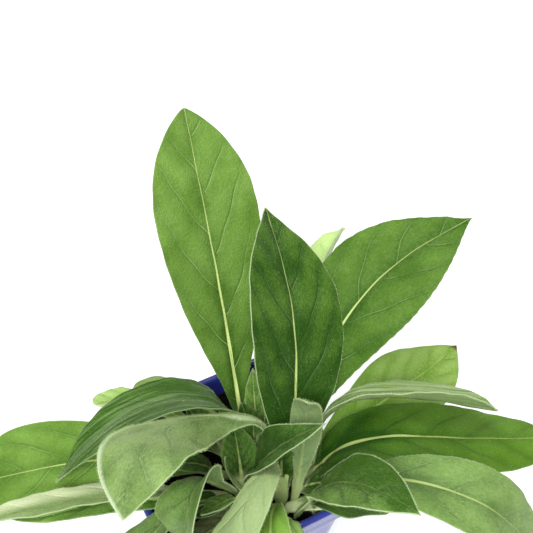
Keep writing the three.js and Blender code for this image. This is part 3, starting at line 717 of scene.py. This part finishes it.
def leaf_green(g, at, dark, light):
    """Patchy green, painted shade in the groove, by the veins, on one side and at the crown, painted light
    on pillows.
    """
    # Painted light and shade of the relief: a painted highlight on the pillows between the side veins, and
    # painted shade in the midrib's groove and beside the veins.
    pillow = g.times(g.ramp(at.near, 0.05, 0.4), g.ramp(at.out_share, 0.1, 0.45), 0.14)
    level = g.math("MULTIPLY_ADD", at.patches, 0.8, -0.4)
    level = g.math("ADD", level, g.math("SUBTRACT", pillow, 0.07))
    level = g.math("ADD", level, g.math("MULTIPLY_ADD", at.mottle, 0.7, -0.35))
    level = g.math("SUBTRACT", level, g.times(at.groove, 0.34))
    level = g.math("SUBTRACT", level, g.times(at.vein_dip, 0.22))
    # Painted shade: darker towards the crown, a little lighter towards the tip, and darker on one side of
    # the blade by lean.
    crown_shading = g.times(at.deepen, g.ramp(at.share, 0.05, 0.75, -1.0, 0.35))
    at.slant = g.math("ADD", g.times(at.lean, at.way), crown_shading)
    level = g.math("ADD", g.times(level, at.contrast), at.slant)
    colour = g.mix(g.math("ADD", at.tone, level, None, True), dark, light)
    speck = g.times(g.ramp(g.noise(at.spot, 0.8, 2), 0.5, 0.7), g.ramp(at.share, 0.3, 1.0, 0.3, 1.0))
    colour = g.mix(g.times(speck, at.yellow, 0.7), colour, YELLOW_SPECKS)
    colour = g.mix(g.times(at.net, at.vein, 0.08), colour, NET_GREEN)
    return g.mix(g.times(at.side_vein, at.vein, 0.75), colour, SIDE_VEIN_GREEN)


def leaf_down(g, at, colour):
    """White down in soft strokes along the leaf, in streaks on a folded one, and on its ridge with a
    painted sheen.
    """
    cover = g.times(g.ramp(at.stroke, 0.3, 0.75), g.ramp(at.patches, 0.3, 0.62, 0.25, 1.0))
    # The down thins in the groove, keeping its painted shade dark, and grows on the side that the painted
    # shading lightens.
    cover = g.times(cover, g.ramp(at.groove, 0.2, 1.0, 1.0, 0.45))
    hazy = g.math("ADD", at.haze, g.times(at.slant, g.ramp(at.haze, 0.0, 0.5)), None, True)
    colour = g.mix(g.times(cover, hazy, 0.8), colour, WHITE_DOWN)
    colour = g.mix(g.times(g.ramp(at.line, 0.45, 0.62), at.streak, 0.75), colour, DARK_STREAK)
    colour = g.mix(g.times(g.ramp(at.line, 0.5, 0.36), at.streak, 0.7), colour, LIGHT_STREAK)
    colour = g.mix(g.times(g.ramp(at.stroke, 0.2, 0.7, 0.6, 1.0), at.grey), colour, GREY_FELT)
    # Pale fuzz along the crest of the blade: the down's own colour, with a painted sheen where the blade
    # curves away.
    path = g.times(at.drift, at.half, g.ramp(at.share, DRIFT_START, DRIFT_START + DRIFT_OVER))
    off_path = g.math("ABSOLUTE", g.math("SUBTRACT", at.across, path))
    fuzz = g.math("ADD", off_path, g.math("MULTIPLY_ADD", at.stroke, 2.4, -1.2))
    colour = g.mix(g.times(g.ramp(fuzz, 0.5, 2.4, 1.0, 0.0), at.ridge, 0.75), colour, RIDGE_FUZZ_AND_SHEEN)
    return g.mix(g.times(at.lower, 0.5), colour, LOWER_FACE)


def leaf_lines(g, at, colour):
    """Pale midrib, petiole, felted root and margin, and the brown tip of a leaf that is going over."""
    rib_light = g.ramp(at.share, 0.25, 0.95, 1.0, 0.5)
    colour = g.mix(g.times(at.midrib, rib_light, at.rib), colour, MIDRIB_GREEN)
    stalk = g.times(g.ramp(at.along, 4.0, 30.0, 0.85, 0.0), g.ramp(at.half, 2.2, 6.0, 1.0, 0.0), at.stem)
    colour = g.mix(stalk, colour, PETIOLE_GREEN)
    felt = g.ramp(g.math("ADD", at.way, g.ramp(at.share, 0.0, 0.5, 1.2, 0.0)), 0.05, 0.6)
    colour = g.mix(g.times(at.cream, felt), colour, CREAM_FELT)
    colour = g.mix(g.times(at.edge, at.margin, 0.85), colour, MARGIN_WHITE)
    return g.mix(g.times(g.ramp(at.share, 0.955, 0.985), at.brown), colour, DEAD_BROWN)


def leaf_material(name, dark, light, sheen):
    g = Graph(name)
    at = leaf_inputs(g)
    add_veins(g, at)
    colour = leaf_green(g, at, dark, light)
    colour = leaf_down(g, at, colour)
    colour = leaf_lines(g, at, colour)
    g.set(Base_Color=colour, Roughness=0.5, Specular_IOR_Level=0.25, Specular_Tint=LEAF_SHINE)
    g.set(Sheen_Weight=sheen, Sheen_Roughness=0.4, Sheen_Tint=DOWN_SHINE)
    height = g.math("SUBTRACT", g.times(at.mottle, 0.5), g.times(at.vein_dip, 0.5))
    height = g.math("SUBTRACT", height, g.times(at.net, 0.12))
    g.bump(height, 0.0007, 0.9)
    return g.material


def hair_material():
    g = Graph("down_hairs")
    g.set(Base_Color=HAIR_WHITE, Roughness=0.6, Specular_IOR_Level=0.3)
    return g.material


def pot_material():
    """Blue plastic, slightly cloudy and dusty."""
    g = Graph("pot_plastic")
    place = g.place()
    cloud = g.noise(place, 60, 3)
    colour = g.mix(g.ramp(cloud, 0.35, 0.7), PLASTIC_DARK, PLASTIC_LIGHT)
    dust = g.noise(place, 420, 4, 0.7)
    colour = g.mix(g.ramp(dust, 0.6, 0.8, 0.0, 0.05), colour, PLASTIC_DUST)
    g.set(Base_Color=colour, Roughness=0.3)
    g.set(Specular_IOR_Level=0.7, Coat_Weight=0.4, Coat_Roughness=0.15)
    g.bump(g.noise(place, 900, 2), 0.00015, 0.3)
    return g.material


def soil_material():
    """Dark moist mix with a fine grain."""
    g = Graph("potting_mix")
    place = g.place()
    grain = g.noise(place, 700, 5, 0.7)
    clods = g.noise(place, 160, 3)
    colour = g.mix(g.ramp(g.math("ADD", grain, clods), 0.7, 1.35), SOIL_DARK, SOIL_LIGHT)
    g.set(Base_Color=colour, Roughness=0.95, Specular_IOR_Level=0.12)
    g.bump(grain, 0.0012, 0.9)
    return g.material


LEAF_LOOKS = {look: leaf_material(look, *greens) for look, greens in LEAF_GREENS.items()}
HAIRS = hair_material()
POT = pot_material()
SOIL = soil_material()

# Each leaf's own random share comes from its order, by steps of the golden ratio.
GOLDEN_SHARE = 0.618034
SHOOT_ORDER = 50
INNER_ORDER = 70
BASE_ORDER = 90
VEIN_GAP_SHARE = 0.165
LEAST_VEIN_GAP = 6.0


def full_leaf(leaf, order):
    """A leaf's row with what it leaves out, its random share and the gap of its side veins."""
    full = {**USUAL, **leaf}
    full["random"] = (order * GOLDEN_SHARE) % 1.0
    full["vein_gap"] = max(LEAST_VEIN_GAP, full["length"] * VEIN_GAP_SHARE)
    return full


def short_leaf(row, kind, order):
    """A small leaf from its short row and what its kind shares."""
    x, y, heading, rise, droop, length, width = row
    path = dict(root=(x, y), heading=heading, rise=rise, droop=droop, length=length, width=width)
    return full_leaf({**path, **kind}, order)


def leaf_values(leaf, notes):
    """The LEAF_VALUES at each point of a leaf."""
    values = {}
    for attribute, keys in LEAF_VALUES.items():
        values[attribute] = np.empty((len(notes), len(keys)))
        for k, key in enumerate(keys):
            values[attribute][:, k] = notes[:, NOTES.index(key)] if key in NOTES else leaf[key]
    return values


def add_blades(name, leaves):
    """One object from one or more leaves."""
    *parts, notes = zip(*[leaf_mesh(leaf) for leaf in leaves])
    thing = mesh_object(name, *joined(zip(*parts)), LEAF_LOOKS[leaves[0]["look"]])
    values = [leaf_values(leaf, note) for leaf, note in zip(leaves, notes)]
    for attribute in LEAF_VALUES:
        put_attribute(thing, attribute, np.vstack([row[attribute] for row in values]))
    return thing


HAIR_SEED = 7
HAIR_HALF_WIDTH = 0.03
HAIR_SINK = 0.02
HAIRS_PER_MM2 = 2.4
BLADE_FILL = 0.62
RIM_HAIRS_PER_MM = 14
RIDGE_HAIRS_PER_MM = 14
STALK_HAIRS = 260
chance = np.random.default_rng(HAIR_SEED)


def unit(vectors):
    return vectors / np.linalg.norm(vectors, axis=1, keepdims=True)


def hair_spikes(roots, tips):
    """Thin closed spikes: three corners round each root, and one at the tip."""
    axis = unit(tips - roots)
    helper = np.where(np.abs(axis[:, 2:]) < 0.9, [[0.0, 0.0, 1.0]], [[1.0, 0.0, 0.0]])
    first = unit(np.cross(axis, helper))
    second = np.cross(axis, first)
    corners = []
    for k in range(3):
        angle = 2 * math.pi * k / 3
        corners.append(roots + HAIR_HALF_WIDTH * (first * math.cos(angle) + second * math.sin(angle)))
    points = np.stack([*corners, tips], 1).reshape(-1, 3)
    base = (4 * np.arange(len(roots)))[:, None]
    faces = [base + np.array(corner) for corner in ((0, 2, 1), (0, 1, 3), (1, 2, 3), (2, 0, 3))]
    return points, np.vstack(faces)


def hair_spots(leaf):
    """The shares where hairs stand, whether on the lower face, and whether on the ridge."""
    area = BLADE_FILL * leaf["length"] * leaf["width"]
    faces = int(area * HAIRS_PER_MM2 * leaf["down"] ** 1.3)
    rims = int(leaf["length"] * (2 + RIM_HAIRS_PER_MM * leaf["margin"]))
    stalk = int(STALK_HAIRS * (0.3 + leaf["down"]))
    ridge = int(leaf["length"] * RIDGE_HAIRS_PER_MM * leaf["ridge"])
    s = [chance.uniform(0.03, 0.99, faces), chance.uniform(0.1, 0.995, rims)]
    s += [chance.uniform(0.0, 0.22, stalk), chance.uniform(0.12, 0.8, ridge)]
    path = leaf["drift"] * smoothstep((s[-1] - DRIFT_START) / DRIFT_OVER)
    u = [chance.uniform(-1, 1, faces), chance.choice([-1.0, 1.0], rims), chance.uniform(-1, 1, stalk)]
    u.append(np.clip(path + chance.normal(0, 0.05, ridge), -0.98, 0.98))
    s, u = np.concatenate(s), np.concatenate(u)
    lower = chance.random(len(s)) < np.where(np.abs(u) == 1, 0.5, 0.3)
    on_ridge = np.arange(len(s)) >= faces + rims + stalk
    return s, u, lower & ~on_ridge, on_ridge


def hair_frames(leaf, s, u, lower):
    """Where hairs stand, and the ways out of the leaf, to its tip and off its margin."""
    step = 0.002
    roots, normal, ahead, sideways = np.zeros((4, len(s), 3))
    for face in (False, True):
        chosen = lower == face
        a, b = s[chosen], u[chosen]
        along = surface(leaf, a + step, b, face)[0] - surface(leaf, a - step * (a > step), b, face)[0]
        across = surface(leaf, a, b + step, face)[0] - surface(leaf, a, b - step, face)[0]
        along, across = unit(along), unit(across)
        upward = unit(np.cross(across, along))
        roots[chosen] = surface(leaf, a, b, face)[0]
        normal[chosen] = -upward if face else upward
        ahead[chosen] = along
        sideways[chosen] = across * np.sign(b)[:, None]
    return roots, normal, ahead, sideways


def leaf_hairs(leaf):
    """Roots and tips of the hairs of one leaf."""
    s, u, lower, on_ridge = hair_spots(leaf)
    roots, normal, ahead, sideways = hair_frames(leaf, s, np.clip(u, -0.995, 0.995), lower)
    rim = (np.abs(u) == 1)[:, None]
    jitter = chance.normal(0, 0.3, (len(s), 3))
    lean = np.where(rim, sideways * 0.9 + normal * 0.35 + ahead * 0.4, normal * 0.8 + ahead * 0.55)
    lean = unit(lean + jitter)
    size = chance.uniform(0.45, 1.0, (len(s), 1)) * (0.6 + 0.5 * leaf["down"])
    size = np.where(on_ridge[:, None], size * 1.5, size)
    return roots - normal * HAIR_SINK, roots + lean * size


def add_hairs(name, leaves):
    """One object with the hairs of one or more leaves."""
    roots, tips = zip(*[leaf_hairs(leaf) for leaf in leaves])
    points, faces = hair_spikes(np.vstack(roots), np.vstack(tips))
    hairs = mesh_object(name, points, [faces], HAIRS, smooth=False)
    dress(hairs)


def add_large_leaves():
    for order, (name, row) in enumerate(LEAVES.items()):
        leaf = full_leaf(row, order)
        dress(add_blades(f"{name}_blade", [leaf]), name)
        add_hairs(f"{name}_down", [leaf])


def add_young_shoot():
    shoot = [full_leaf({**SHOOT_KIND, **row}, SHOOT_ORDER + k) for k, row in enumerate(SHOOT_LEAVES)]
    dress(add_blades("young_shoot_blades", shoot), "young_back_shoot")
    add_hairs("young_shoot_down", shoot)


def add_soft_leaves(name, leaves):
    """Leaves of the crown that stand for no solid."""
    dress(add_blades(name, leaves))
    add_hairs(f"{name}_down", leaves)


add_large_leaves()
add_young_shoot()
add_soft_leaves("inner_leaves", [
    short_leaf(row, INNER_KIND, INNER_ORDER + k) for k, row in enumerate(INNER_LEAVES)
])
add_soft_leaves("leaf_bases", [
    short_leaf(FELTED_BASE, {**BASE_KIND, "cream": 1.0}, BASE_ORDER),
    short_leaf(GREY_LEAF, BASE_KIND, BASE_ORDER + 1),
])


POT_HEIGHT = 87.0
RIM_HALF = 45.0
BASE_HALF = 31.0
WALL = 1.6
FLOOR = 2.0
BASE_ROUND = 1.5
COLLAR_FOOT = 76.0
COLLAR_STEP = 2.2
LIP_ROUND = 1.2
CORNER_AT_RIM = 10.0
CORNER_AT_BASE = 7.0
CORNER_STEPS = 10
DRAIN_RADIUS = 3.5
DRAIN_SIDES = 32
DRAIN_PLACES = [(19, 19), (-19, 19), (-19, -19), (19, -19), (21, 0), (0, 21), (-21, 0), (0, -21)]
SHARP_ANGLE = 40


def square_ring(half, corner, z):
    """One level ring of the square pot, anticlockwise seen from above."""
    turn = np.radians(np.linspace(0, 90, CORNER_STEPS + 1))
    ring = []
    for quarter, (sx, sy) in enumerate(((1, 1), (-1, 1), (-1, -1), (1, -1))):
        angle = turn + math.pi / 2 * quarter
        x = sx * (half - corner) + corner * np.cos(angle)
        y = sy * (half - corner) + corner * np.sin(angle)
        ring.append(np.stack([x, y, np.full_like(x, z)], -1))
    return np.concatenate(ring)


def wall_at(z):
    """Half width and corner radius of the outside of the plain wall."""
    share = z / POT_HEIGHT
    half = BASE_HALF + (RIM_HALF - COLLAR_STEP - BASE_HALF) * share
    return half, CORNER_AT_BASE + (CORNER_AT_RIM - CORNER_AT_BASE) * share


def outside_rings():
    """The rounded edge of the base, the wall, and the collar."""
    rings = []
    for angle in range(0, 91, 30):
        a = math.radians(angle)
        inset = BASE_ROUND * (1 - math.sin(a))
        rings.append((BASE_HALF - inset, CORNER_AT_BASE - inset, BASE_ROUND * (1 - math.cos(a))))
    for z in (1.9, 20, 40, 60, COLLAR_FOOT - 0.6):
        rings.append((*wall_at(z), z))
    half, corner = wall_at(COLLAR_FOOT)
    rings.append((half + 0.25, corner + 0.1, COLLAR_FOOT))
    rings.append((RIM_HALF - 1.1, CORNER_AT_RIM - 0.5, COLLAR_FOOT + 0.25))
    rings.append((RIM_HALF - 0.75, CORNER_AT_RIM - 0.3, COLLAR_FOOT + 0.9))
    rings.append((RIM_HALF - 0.1, CORNER_AT_RIM, POT_HEIGHT - 1.9))
    return rings


def lip_rings():
    """The round lip, and the slope from it to the inside of the wall."""
    half, corner = wall_at(POT_HEIGHT)
    lip = (RIM_HALF - half + 1.1) / 2
    middle = RIM_HALF - lip
    rings = []
    for angle in range(0, 181, 20):
        a = math.radians(angle)
        inset = lip * (1 - math.cos(a))
        height = POT_HEIGHT - LIP_ROUND + LIP_ROUND * math.sin(a)
        rings.append((middle + lip * math.cos(a), CORNER_AT_RIM - 0.6 * inset, height))
    rings.append((half - 1.3, corner - 1.2, POT_HEIGHT - 1.7))
    rings.append((half - WALL, corner - WALL, POT_HEIGHT - 2.4))
    return rings


def inside_rings():
    """The inside of the wall and its rounded foot."""
    rings = []
    for z in (70, 40, FLOOR + 1.5):
        half, corner = wall_at(z)
        rings.append((half - WALL, corner - WALL, z))
    half, corner = wall_at(FLOOR)
    rings.append((half - WALL - 0.5, corner - WALL, FLOOR + 0.3))
    rings.append((half - WALL - 1.3, corner - WALL, FLOOR))
    return rings


def add_drill():
    """The cylinders that cut the drain holes."""
    angle = np.linspace(0, 2 * np.pi, DRAIN_SIDES, endpoint=False)
    circle = np.stack([np.cos(angle), np.sin(angle), 0 * angle], -1) * DRAIN_RADIUS
    holes = []
    for x, y in DRAIN_PLACES:
        points = np.vstack([circle + [x, y, -3], circle + [x, y, 6], [[x, y, -3], [x, y, 6]]])
        holes.append((points, *tube_faces(2, DRAIN_SIDES)))
    return mesh_object("drill", *joined(holes), POT, smooth=False)


def add_pot():
    profile = outside_rings() + lip_rings() + inside_rings()
    rings = [square_ring(*row) for row in profile]
    points = np.vstack(rings + [[[0, 0, 0]], [[0, 0, FLOOR]]])
    pot = mesh_object("pot_shell", points, tube_faces(len(rings), len(rings[0])), POT)
    drill = add_drill()
    cut = pot.modifiers.new("drain_holes", "BOOLEAN")
    cut.operation = "DIFFERENCE"
    cut.object = drill
    made = bpy.data.meshes.new_from_object(pot.evaluated_get(bpy.context.evaluated_depsgraph_get()))
    pot.modifiers.clear()
    pot.data = made
    made.set_sharp_from_angle(angle=math.radians(SHARP_ANGLE))
    bpy.data.objects.remove(drill)
    dress(pot, "pot")


MIX_TOP = 76.0
MIX_BOTTOM = FLOOR + 0.2
MIX_INSET = WALL + 0.15
MIX_RINGS = 64
CRUMBS = 2200
CRUMB_MARGIN = 1.5
LATTICE = 96
mixing = np.random.default_rng(23)
lattice = mixing.uniform(-1, 1, (LATTICE + 1, LATTICE + 1))


def lumps(x, y, cell):
    """Smooth random heights between -1 and 1, with bumps about cell millimetres apart."""
    u, v = x / cell + 47, y / cell + 47
    i, j = np.floor(u).astype(int), np.floor(v).astype(int)
    a, b = smoothstep(u - i), smoothstep(v - j)
    i, j = i % LATTICE, j % LATTICE
    near = lattice[i, j] * (1 - a) + lattice[i + 1, j] * a
    far = lattice[i, j + 1] * (1 - a) + lattice[i + 1, j + 1] * a
    return near * (1 - b) + far * b


def mix_height(x, y):
    return MIX_TOP + 0.7 * lumps(x, y, 9) + 0.5 * lumps(x, y, 3.1) + 0.3 * lumps(x + 5, y, 1.3)


def crumbs(reach):
    """Loose lumps on the mix: uneven octahedra, closed, at random sizes and turns."""
    corners = np.array([[1, 0, 0], [-1, 0, 0], [0, 1, 0], [0, -1, 0], [0, 0, 1], [0, 0, -1]], float)
    sides = [[0, 2, 4], [2, 1, 4], [1, 3, 4], [3, 0, 4], [2, 0, 5], [1, 2, 5], [3, 1, 5], [0, 3, 5]]
    place = mixing.uniform(-reach, reach, (CRUMBS, 2))
    size = 0.35 + 0.9 * mixing.random((CRUMBS, 1)) ** 3
    spin = mixing.uniform(0, 2 * math.pi, CRUMBS)
    shape = corners[None] * (0.55 + 0.6 * mixing.random((CRUMBS, 6, 1))) * size[:, None]
    shape = shape * mixing.uniform(0.6, 1.5, (CRUMBS, 1, 3))
    turned = shape.copy()
    turned[..., 0] = shape[..., 0] * np.cos(spin)[:, None] - shape[..., 1] * np.sin(spin)[:, None]
    turned[..., 1] = shape[..., 0] * np.sin(spin)[:, None] + shape[..., 1] * np.cos(spin)[:, None]
    height = mix_height(place[:, 0], place[:, 1]) + 0.3 * size[:, 0]
    turned += np.stack([place[:, 0], place[:, 1], height], -1)[:, None]
    faces = (6 * np.arange(CRUMBS))[:, None, None] + np.array(sides)
    return turned.reshape(-1, 3), faces.reshape(-1, 3)


def add_mix():
    """The filled pot's mix: its sides, an uneven top, and crumbs on it."""
    foot_half, foot_corner = wall_at(FLOOR)
    top_half, top_corner = wall_at(MIX_TOP)
    rings = [square_ring(foot_half - MIX_INSET - 0.8, foot_corner - MIX_INSET, MIX_BOTTOM)]
    rings.append(square_ring(top_half - MIX_INSET, top_corner - MIX_INSET, MIX_TOP - 1.5))
    for i in range(MIX_RINGS):
        size = 1 - i / MIX_RINGS
        ring = square_ring((top_half - MIX_INSET) * size, (top_corner - MIX_INSET) * size, 0)
        ring[:, 2] = mix_height(ring[:, 0], ring[:, 1])
        rings.append(ring)
    middle = mix_height(np.zeros(1), np.zeros(1))[0]
    points = np.vstack(rings + [[[0, 0, MIX_BOTTOM]], [[0, 0, middle]]])
    quads, fans = tube_faces(len(rings), len(rings[0]))
    crumb_points, crumb_faces = crumbs(top_half - MIX_INSET - CRUMB_MARGIN)
    faces = np.vstack([fans, crumb_faces + len(points)])
    points = np.vstack([points, crumb_points])
    mix = mesh_object("crumbly_mix", points, [quads, faces], SOIL, smooth=False)
    dress(mix, "potting_mix")


add_pot()
add_mix()

# Places and sizes of the lamps are in metres, and their powers in watts.
FLOOR_HALF = 2500
FLOOR_WHITE = (0.9, 0.9, 0.9, 1.0)
GLOW_WHITE = (1.0, 1.0, 1.0, 1.0)
GLOW = 0.4
SKY = 0.25
LAMPS = {"overhead": ((0.1, 0.3, 1.3), 0.8, 9), "key": ((-0.45, -0.6, 1.1), 0.5, 14)}
LAMP_AIM = Vector((0.02, 0.02, 0.1))


def add_floor():
    g = Graph("floor")
    g.set(Base_Color=FLOOR_WHITE, Roughness=0.9)
    g.set(Emission_Color=GLOW_WHITE, Emission_Strength=GLOW)
    size = FLOOR_HALF
    corners = [(-size, -size, 0), (size, -size, 0), (size, size, 0), (-size, size, 0)]
    mesh_object("floor", corners, [[(0, 1, 2, 3)]], g.material, smooth=False)


def add_light(name, place, size, power):
    data = bpy.data.lights.new(name, "AREA")
    data.shape = "SQUARE"
    data.size = size
    data.energy = power
    lamp = bpy.data.objects.new(name, data)
    lamp.location = place
    lamp.rotation_euler = (Vector(place) - LAMP_AIM).to_track_quat("Z", "Y").to_euler()
    bpy.context.scene.collection.objects.link(lamp)


def add_world(strength):
    world = bpy.data.worlds.new("studio")
    world.use_nodes = True
    world.node_tree.nodes["Background"].inputs[0].default_value = (1, 1, 1, 1)
    world.node_tree.nodes["Background"].inputs[1].default_value = strength
    bpy.context.scene.world = world


add_camera()
add_floor()
add_world(SKY)
for name, lamp in LAMPS.items():
    add_light(name, *lamp)
bpy.context.scene.view_settings.view_transform = "Standard"
